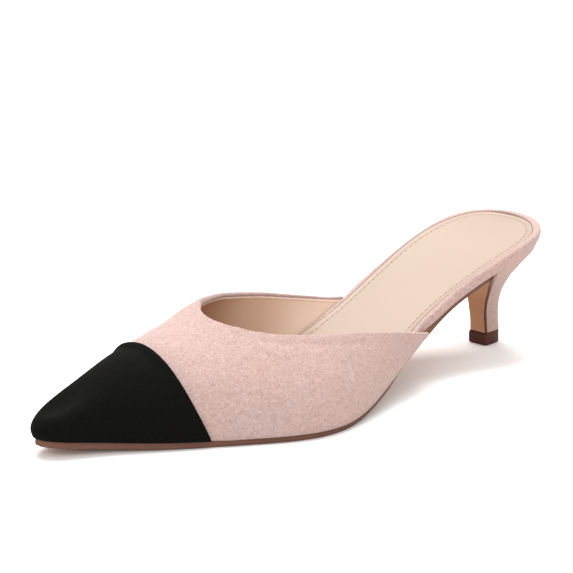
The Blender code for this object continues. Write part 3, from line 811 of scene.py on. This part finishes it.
def make_band():
    """covered insole board: suede drawn round its edge"""
    def heel_zone(us):
        return 1 - smooth(x_of(us), 46, 62)

    def loop(k, z, lower=0.0):
        def f(us):
            bs = back_share(us)
            room = np.minimum(1, (sock_inset(us) - 0.3 - cover_inset(us)) / 1.75)
            extra = k * (room if z > 0.6 else 1) + lower * bs
            p = inset_loop(us, cover_inset(us) + extra)
            t = board_t(p[:, 0])
            return np.column_stack([p, sole_z(p[:, 0]) + GAP * smooth(z, -0.07, 0.3) + t * np.maximum(z, 0) - 0.30 * (z < 0)])
        return f

    edge = ((1.9, -0.01, 0.9), (1.05, 0.0, 0.9), (0.62, 0.10, 0.62), (0.28, 0.22, 0.36), (0.08, 0.36, 0.12), (0.0, 0.50, 0.0),
            (0.02, 0.66, 0.0), (0.12, 0.80, 0.0), (0.34, 0.91, 0.0), (0.66, 0.975, 0.0), (1.1, 1.0, 0.0), (1.7, 1.0, 0.0))

    def lip(us):
        p = inset_loop(us, sock_inset(us) - 0.26)
        return np.column_stack([p, sole_z(p[:, 0]) + GAP + board_t(p[:, 0]) - 0.03])

    def wall(us):
        p = inset_loop(us, sock_inset(us) - 0.10)
        return np.column_stack([p, sole_z(p[:, 0]) + GAP + board_t(p[:, 0]) - 0.30])

    def floor(us):
        p = inset_loop(us, sock_inset(us) - 0.03)
        return np.column_stack([p, board_top(p[:, 0], p[:, 1])])

    def crown(x, y, on_top):
        return board_top(x, y) if on_top else sole_z(x) + 0.0
    loops = [loop(*e) for e in edge] + [lip, wall, floor]
    count = 420
    verts, faces, band = plate(count, loops, crown, 10)
    # painted shade on the band's rolled underside at the sole and in the recess round the sock (lip, wall, floor)
    shadow = np.zeros(len(verts))
    for k, v in ((0, 0.5), (1, 0.22), (2, 0.06), (len(edge) + 0, 0.08), (len(edge) + 1, 0.4), (len(edge) + 2, 0.6)):
        shadow[k * count:(k + 1) * count] = v
    V = np.asarray(verts)
    side = slice(count * 2, count * 10)
    V[side] += 0.0
    bumpy = np.zeros(len(V))
    k = 0.05 * ripple(V[count * 2:count * 12], 5.0, 31.0)
    us = np.linspace(0, 2 * np.pi, count, endpoint=False)
    _, nn = rim(us)
    rows = 10
    for r_ in range(rows):
        o = count * (2 + r_)
        V[o:o + count, :2] += nn * k[r_ * count:(r_ + 1) * count, None] * (1 if r_ < 8 else 0.3)
    return piece("insole_band", "insole", V, faces, ["suede"], None, shadow, sharp=55)


def sock_top(p, inset):
    """top of the sock at p, inset mm inside its edge"""
    inset = np.asarray(inset, float)
    z = board_top(p[:, 0], p[:, 1]) + GAP + SOCK_T - SOCK_DROP * smooth(inset, 0.4, 2.3)
    roll = -0.30 * (1 - np.sqrt(np.clip(1 - (1 - np.clip(inset / 0.5, 0, 1)) ** 2, 0, 1)))
    return z + roll


def make_sock():
    insets = [0.0, 0.04, 0.12, 0.25, 0.5, 0.8, 1.1, 1.4, 1.7, 2.0, 2.3, 2.7, 3.2, 3.9, 4.8]

    def low(k, z):
        def f(us):
            p = inset_loop(us, sock_inset(us) + k)
            return np.column_stack([p, board_top(p[:, 0], p[:, 1]) + z])
        return f

    def top(k):
        def f(us):
            p = inset_loop(us, sock_inset(us) + k)
            return np.column_stack([p, sock_top(p, np.full(len(us), k))])
        return f

    def crown(x, y, on_top):
        return board_top(x, y) + (GAP + SOCK_T - SOCK_DROP if on_top else 0.05)
    loops = [low(0.3, 0.05), low(0.0, 0.15), low(-0.02, 0.7)] + [top(k) for k in insets]
    count = 480
    verts, faces, band = plate(count, loops, crown, 28)
    index = [1 if b in (0, 1, 2) or 0 <= b - 3 < 1 else 0 for b in band]
    V = np.asarray(verts)
    n0 = count * 3
    free = np.ones(len(V))
    free[:n0] = 0
    V[:, 2] += free * 0.05 * ripple(V, 22.0, 41.0)
    # painted shade along the sock's rolled outer edge, fading within a few tenths of a millimetre
    shadow = np.zeros(len(V))
    for k, inset in enumerate(insets):
        o = (3 + k) * count
        shadow[o:o + count] = 0.16 * np.exp(-inset / 0.2)
    return piece("sock_leather", "sock", V, faces, ["sock", "sock_edge"], index, shadow, sharp=60)


def make_stitches():
    """row of thread stitches along the sock, each dipping into its two needle holes"""
    us = np.linspace(0, 2 * np.pi, 20001)
    p = inset_loop(us, sock_inset(us) + stitch_in(us))
    line = np.column_stack([p, sock_top(p, stitch_in(us))])
    arc = np.concatenate([[0], np.cumsum(np.linalg.norm(np.diff(line, axis=0), axis=1))])
    count = int(round(arc[-1] / STITCH_STEP))
    verts, faces, index = [], [], []

    def at(s):
        s = s % arc[-1]
        return np.array([np.interp(s, arc, line[:, k]) for k in range(3)])

    for i in range(count):
        s0 = arc[-1] * i / count
        if x_of(np.interp(s0, arc, us)) > 226:
            continue
        a, b = at(s0 + 0.62), at(s0 + STITCH_STEP - 0.62)
        t = (b - a) / np.linalg.norm(b - a)
        side = np.cross([0, 0, 1.0], t)
        side /= np.linalg.norm(side)
        up = np.cross(t, side)
        o = len(verts)
        segs, ring = 9, 8
        for j in range(segs):
            w = j / (segs - 1)
            c = a + (b - a) * w + up * (-0.06 - 0.34 * abs(2 * w - 1) ** 3.0)
            rad = 0.24 * (1 - 0.35 * abs(2 * w - 1) ** 4)
            for k in range(ring):
                q = 2 * np.pi * k / ring
                verts.append(c + side * np.cos(q) * rad * 1.15 + up * np.sin(q) * rad)
        for j in range(segs - 1):
            for k in range(ring):
                m, n = o + j * ring + k, o + j * ring + (k + 1) % ring
                faces.append([m, n, n + ring, m + ring])
                index.append(0)
        faces += [[o + k for k in range(ring)][::-1], [o + (segs - 1) * ring + k for k in range(ring)]]
        index += [0, 0]
        # needle hole: a shallow dome in the groove, coloured dark as painted shade of the hole
        c = at(s0)
        o = len(verts)
        for j, (rr, hh) in enumerate(((0.62, -0.10), (0.60, 0.02), (0.44, 0.05), (0.16, 0.06))):
            for k in range(10):
                q = 2 * np.pi * k / 10
                verts.append(c + (t * np.cos(q) + side * np.sin(q)) * rr + up * hh)
        for j in range(3):
            for k in range(10):
                m, n = o + j * 10 + k, o + j * 10 + (k + 1) % 10
                faces.append([m, n, n + 10, m + 10])
                index.append(1)
        faces += [[o + k for k in range(10)][::-1], [o + 30 + k for k in range(10)]]
        index += [1, 1]
    ob = piece("sock_stitches", None, verts, faces, ["thread", "hole"], index, None, sharp=60)
    return ob


def sole_thick(x):
    """the sole is thinned under the waist"""
    return 1.45 + (SOLE_T - 1.45) * smooth(x, 62, 96)


def turn(t):
    k = np.linspace(0, 1, len(TURN))
    return [spline(k, column(TURN, c), t) for c in range(6)]


def sole_section(w, t, flap):
    """half section as (distance from the middle, share of the thickness), top middle to bottom middle"""
    r1, r2 = (0.2, 0.28) if flap else (0.25, 0.4)
    pts = [(w * k, 0.0) for k in (0, 0.25, 0.5, 0.72, 0.88)]
    pts.append((w - max(r1 * 2.2, w * 0.04), 0.0))
    for q in np.linspace(0, np.pi / 2, 4):
        pts.append((w - r1 + r1 * np.sin(q), (r1 - r1 * np.cos(q)) / t))
    pts.append((w + 0.03, 0.5))
    for q in np.linspace(np.pi / 2, 0, 5):
        pts.append((w - r2 + r2 * np.sin(q), 1 - (r2 - r2 * np.cos(q)) / t))
    pts.append((w - max(r2 * 1.9, w * 0.05), 1.0))
    pts += [(w * k, 1.0) for k in (0.86, 0.72, 0.5, 0.25, 0)]
    return pts


def make_outsole():
    rows, kinds = [], []
    us = np.pi - np.linspace(0.035, 1, 230) ** 1.0 * (np.pi - u_of(52.5))
    for u in us:
        p, n = rim(u)
        x = float(p[0])
        under = 0.8 + 0.6 * float(smooth(x, 84, 92) * (1 - smooth(x, 106, 118)))
        q = p - n * under
        x = float(q[0])
        c = float(centre(x))
        w = max(float(q[1]) - c, 0.6)
        slope = float(sole_z(x + 0.5) - sole_z(x - 0.5))
        t = float(sole_thick(x))
        nx, nz = -slope / np.hypot(1, slope), 1 / np.hypot(1, slope)
        z = float(sole_z(x))
        a, b = np.array([x, z]), np.array([x - t * nx, z - t * nz])
        rows.append((a, b, c, w, t))
        kinds.append(0)
    for k in np.linspace(0, 1, 130):
        xa, za, xb, zb, c, w = (float(v) for v in turn(k))
        a, b = np.array([xa, za]), np.array([xb, zb])
        # bonded flap: filled up to the heel cover at the top of the breast
        a = a + (a - b) / max(float(np.linalg.norm(a - b)), 1e-6) * 0.85 * float(smooth(xa, 33, 37.5) * (1 - smooth(xa, 43.5, 48)))
        rows.append((a, b, c, w, float(np.linalg.norm(b - a))))
        kinds.append(1)
    verts, width = [], []
    for (a, b, c, w, t), kind in zip(rows, kinds):
        half = sole_section(w, t, kind)
        ring = half + [(-v, k) for v, k in half[::-1]][1:-1]
        for v, k in ring:
            q = a + (b - a) * k
            verts.append(np.array([q[0], c + v, q[1]]))
        width.append(len(ring))
    m = width[0]
    faces, index = [], []
    span = len(sole_section(10, 2, False))
    for i in range(len(rows) - 1):
        for j in range(m):
            a, b = i * m + j, i * m + (j + 1) % m
            faces.append([a, b, b + m, a + m])
            jj = j if j < span - 1 else m - 1 - j
            side = 6 <= jj <= 14
            index.append((2 if kinds[i] else 1) if side else 0)
    faces += [list(range(m))[::-1], [(len(rows) - 1) * m + j for j in range(m)]]
    index += [1, 2]
    faces = orient(faces, verts)
    V = np.asarray(verts)
    return piece("outsole_leather", "outsole", V, faces, ["sole", "edge", "flap_edge"], index, None, sharp=50)


def heel_ring(x, z, c, w, depth, full, share, n=30):
    """D section: flat breast at x, round back; share of the seat outline mixed in"""
    t = np.linspace(0, np.pi, n)
    px = x - depth * np.abs(np.sin(t)) ** (2 / full)
    py = c + w * np.sign(np.cos(t)) * np.abs(np.cos(t)) ** (2 / full)
    u = float(u_of(x)) * np.cos(t)
    q, nn = rim(u)
    q = q - nn * (0.9 + 1.0 * back_share(u))[:, None]
    px, py = px * (1 - share) + q[:, 0] * share, py * (1 - share) + q[:, 1] * share
    pz = z + share * (sole_z(px) - sole_z(np.float64(x)))
    return np.column_stack([px, py, pz])


def loft(rings):
    rings = [np.asarray(r) for r in rings]
    n, faces = len(rings[0]), []
    for i in range(len(rings) - 1):
        for j in range(n):
            a, b = i * n + j, i * n + (j + 1) % n
            faces.append([a, b, b + n, a + n])
    faces += [list(range(n))[::-1], [(len(rings) - 1) * n + j for j in range(n)]]
    return np.vstack(rings), faces


def make_heel():
    k = np.linspace(0, 1, len(HEEL))
    rings = []
    for t in np.linspace(0, 1, 150):
        x, z, c, w, depth, share = (float(spline(k, column(HEEL, i), t)) for i in range(6))
        rings.append(heel_ring(x, z, c, w, depth, 2.3, min(max(share, 0), 1), 96))
    last = rings[-1]
    last[:, 2] = sole_z(last[:, 0])
    up = last.copy()
    up[:, 2] += 0.35
    rings.append(up)
    V, faces = loft(rings)
    V[:, 0] += 0.0
    w = 0.05 * ripple(V, 6.0, 51.0)
    mid = V.reshape(len(rings), -1, 3).mean(1).repeat(96, 0)
    out = V - mid
    out[:, 2] = 0
    out /= np.maximum(np.linalg.norm(out, axis=1, keepdims=True), 1e-6)
    V += out * w[:, None]
    shadow = np.zeros(len(V))
    # painted shade on the lowest ring, where the cover meets the top piece
    shadow[:96] = 0.3
    faces = orient(faces, V)
    return piece("heel_cover", "heel", V, faces, ["heel_suede_shaded"], None, shadow, sharp=45)


def make_tip():
    levels = ((24.9, 0.0, 4.35, 11.6), (25.15, 0.25, 4.55, 12.0), (25.3, 0.7, 4.62, 12.15), (25.45, 2.5, 4.65, 12.2),
              (25.5, TIP_H - 0.7, 4.65, 12.2), (25.45, TIP_H - 0.25, 4.6, 12.12), (25.3, TIP_H + 0.0, 4.5, 12.0), (24.6, TIP_H + 0.38, 4.2, 10.9))
    k = np.array([l[1] for l in levels])
    zs = np.concatenate([np.linspace(0, 0.9, 8), np.linspace(0.9, TIP_H - 0.9, 8)[1:], np.linspace(TIP_H - 0.9, TIP_H + 0.38, 12)[1:]])
    rings = [heel_ring(float(np.interp(z, k, column(levels, 0))), float(z), 0.0, float(np.interp(z, k, column(levels, 2))),
                       float(np.interp(z, k, column(levels, 3))), 2.4, 0.0, 96) for z in zs]
    V, faces = loft(rings)
    return piece("tip_rubber", "top_piece", V, orient(faces, V), ["tip"], None, None, sharp=35)


make_upper()
make_cap()
make_band()
make_sock()
make_stitches()
make_outsole()
make_heel()
make_tip()


# ---------------------------------------------------------------- floor, light, camera
def make_floor():
    me = bpy.data.meshes.new("floor")
    s, z = 6.0, 0.0
    me.from_pydata([(-s, -s, z), (s, -s, z), (s, s, z), (-s, s, z)], [], [(0, 1, 2, 3)])
    ob = bpy.data.objects.new("floor", me)
    bpy.context.scene.collection.objects.link(ob)
    m = Mat("floor_paint", Roughness=0.9, Specular_IOR_Level=0.1)
    grain = m.noise(3.0, 3.0, 0.5)
    m.colour(m.ramp(grain, ((0.0, (0.82, 0.818, 0.816)), (1.0, (0.84, 0.838, 0.836)))))
    me.materials.append(m.mat)


def area(name, at, to, size, power, rgb=(1, 1, 1)):
    light = bpy.data.lights.new(name, "AREA")
    light.shape = "RECTANGLE"
    light.size, light.size_y = size
    light.energy = power
    light.color = rgb
    ob = bpy.data.objects.new(name, light)
    ob.location = at
    ob.rotation_euler = (Vector(to) - Vector(at)).to_track_quat("-Z", "Y").to_euler()
    bpy.context.scene.collection.objects.link(ob)


def make_light():
    world = bpy.data.worlds.new("studio")
    world.use_nodes = True
    bg = world.node_tree.nodes["Background"]
    bg.inputs["Color"].default_value = (1.0, 0.995, 0.99, 1)
    bg.inputs["Strength"].default_value = 0.95
    bpy.context.scene.world = world
    area("overhead", (-0.20, -0.41, 1.39), (0, 0, 0), (1.1, 1.1), 35.0)
    area("right", (-0.80, 1.00, 0.90), (0, 0, 0), (0.8, 0.8), 4.0)
    area("left", (1.10, 0.60, 0.70), (0, 0, 0), (0.8, 0.8), 6.8)


def make_camera():
    phi, elev, dist, focal = np.radians(45.58), np.radians(14.97), 715.33, 1862.57
    ax, ay, roll = np.radians(-0.67), np.radians(1.23), np.radians(0.85)
    back = np.array([np.cos(phi) * np.cos(elev), np.sin(phi) * np.cos(elev), np.sin(elev)])
    pos = np.array([126.0, 0, 25.0]) + dist * back
    f = -back
    r = np.cross(f, [0, 0, 1.0])
    r /= np.linalg.norm(r)
    u = np.cross(r, f)
    f = f + np.tan(ax) * r + np.tan(ay) * u
    f /= np.linalg.norm(f)
    r = np.cross(f, [0, 0, 1.0])
    r /= np.linalg.norm(r)
    u = np.cross(r, f)
    r, u = np.cos(roll) * r + np.sin(roll) * u, np.cos(roll) * u - np.sin(roll) * r
    cam = bpy.data.cameras.new("camera")
    cam.sensor_fit = "HORIZONTAL"
    cam.sensor_width = 36.0
    cam.lens = focal / 573 * 36.0
    cam.clip_start, cam.clip_end = 0.01, 50
    ob = bpy.data.objects.new("camera", cam)
    m = Matrix.Identity(4)
    for i in range(3):
        m[i][0], m[i][1], m[i][2] = r[i], u[i], -f[i]
        m[i][3] = (pos[i] - SHIFT[i]) * 0.001
    ob.matrix_world = m
    bpy.context.scene.collection.objects.link(ob)
    bpy.context.scene.camera = ob


make_floor()
make_light()
make_camera()
bpy.context.scene.view_settings.view_transform = "Standard"
bpy.context.scene.view_settings.look = "None"
